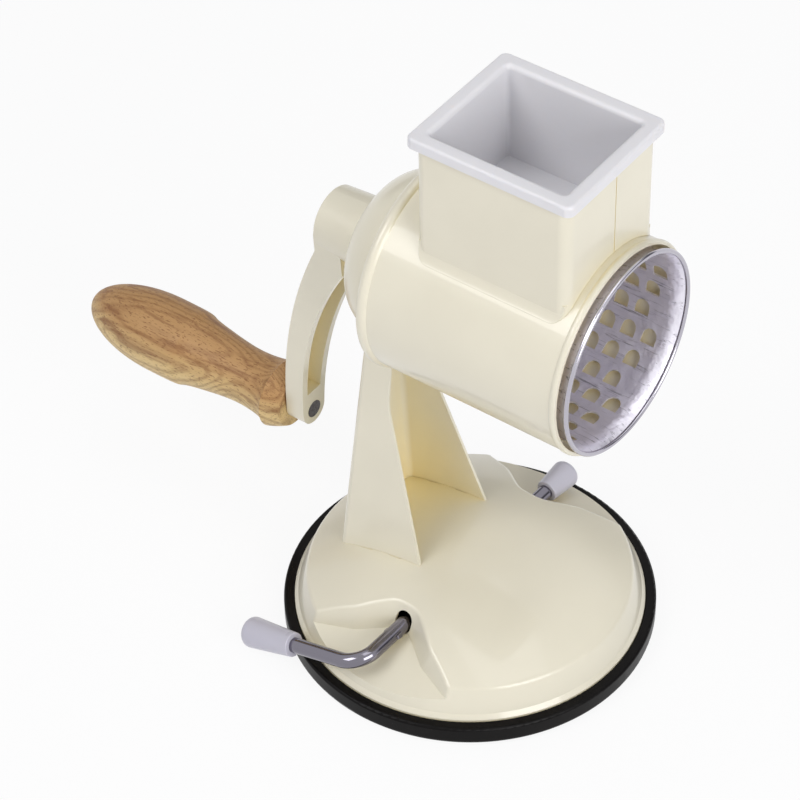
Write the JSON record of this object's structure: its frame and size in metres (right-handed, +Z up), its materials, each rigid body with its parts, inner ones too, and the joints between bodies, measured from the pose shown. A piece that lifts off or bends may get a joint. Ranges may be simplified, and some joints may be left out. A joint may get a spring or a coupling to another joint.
{
  "type": "rotary cabbage shredder",
  "caption": "Hand cranked drum grater for cabbage: perforated steel drum in a cream barrel with a square hopper, pusher, wooden handle and lever suction foot",
  "frame": {"origin": "centre of the suction foot, on the table", "axes": "+Z up, +X along the barrel to its open mouth, the lever's grip on the -Y side"},
  "size_m": [0.2748, 0.155, 0.2667],
  "materials": {
    "foot_rubber": "satin moulded rubber",
    "cream_enamel": "glossy cream enamel on pressed sheet",
    "cast_enamel": "glossy cream enamel on a casting",
    "zinc_steel": "zinc plated steel",
    "bush_plastic": "plain moulded plastic",
    "chrome_rod": "bright chrome plate",
    "rim_chrome": "bright chrome plate, rolled",
    "white_plastic": "smooth white plastic",
    "pusher_plastic": "satin white plastic",
    "rivet_steel": "upset steel rivet",
    "beech": "oiled beech",
    "drum_steel": "rolled steel with fine scratches"
  },
  "bodies": {
    "stand": {"suction_cup": "foot_rubber", "base_shell": "cream_enamel", "rod_bracket": "zinc_steel", "column": "cream_enamel", "rear_cover": "cream_enamel", "barrel": "cream_enamel", "bearing_bush": "bush_plastic", "bush_nut": "zinc_steel", "hopper": "cream_enamel"},
    "lever": {"lever_rod": "chrome_rod", "lever_cap": "white_plastic", "lever_end_cap": "white_plastic", "lift_cam": "zinc_steel", "cam_pin": "zinc_steel"},
    "lift": {"lift_yoke": "zinc_steel", "lift_plate": "zinc_steel"},
    "crank": {"crank_arm": "cast_enamel", "crank_shaft": "zinc_steel", "shaft_clip": "zinc_steel", "thrust_washer": "zinc_steel", "handle_pin": "rivet_steel"},
    "handle": {"wooden_handle": "beech", "handle_sleeve": "zinc_steel"},
    "drum": {"drum_shell_1": "drum_steel", "drum_shell_2": "drum_steel", "drum_shell_3": "drum_steel", "drum_shell_4": "drum_steel", "drum_shell_5": "drum_steel", "drum_shell_6": "drum_steel", "drum_shell_7": "drum_steel", "drum_shell_8": "drum_steel", "drum_rim": "rim_chrome", "drum_back": "drum_steel", "drum_hub": "bush_plastic", "drum_rivet_1": "rivet_steel", "drum_rivet_2": "rivet_steel", "drum_rivet_3": "rivet_steel"},
    "pusher": {"pusher": "pusher_plastic"}
  },
  "joints": [
    {"name": "lever_turn", "type": "hinge", "parent": "stand", "child": "lever", "pos_m": [0, 0, 0.025], "axis": [0.0419, 0.9991, 0], "range_deg": [0, 180]},
    {"name": "lift_slide", "type": "slide", "parent": "stand", "child": "lift", "axis": [0, 0, 1], "range_m": [0, 0.0048]},
    {"name": "crank_spin", "type": "hinge", "parent": "stand", "child": "crank", "pos_m": [0, 0, 0.18], "axis": [1, 0, 0], "continuous": true},
    {"name": "handle_spin", "type": "hinge", "parent": "crank", "child": "handle", "pos_m": [-0.12, 0, 0.0694], "axis": [1, 0, 0], "continuous": true},
    {"name": "drum_pull", "type": "slide", "parent": "crank", "child": "drum", "axis": [1, 0, 0], "range_m": [0, 0.11]},
    {"name": "pusher_lift", "type": "slide", "parent": "stand", "child": "pusher", "axis": [0, 0, 1], "range_m": [0, 0.07]}
  ],
  "couplings": [
    {"joint": "lift_slide", "follows": "lever_turn", "m_per_rad": 0.001527}
  ]
}
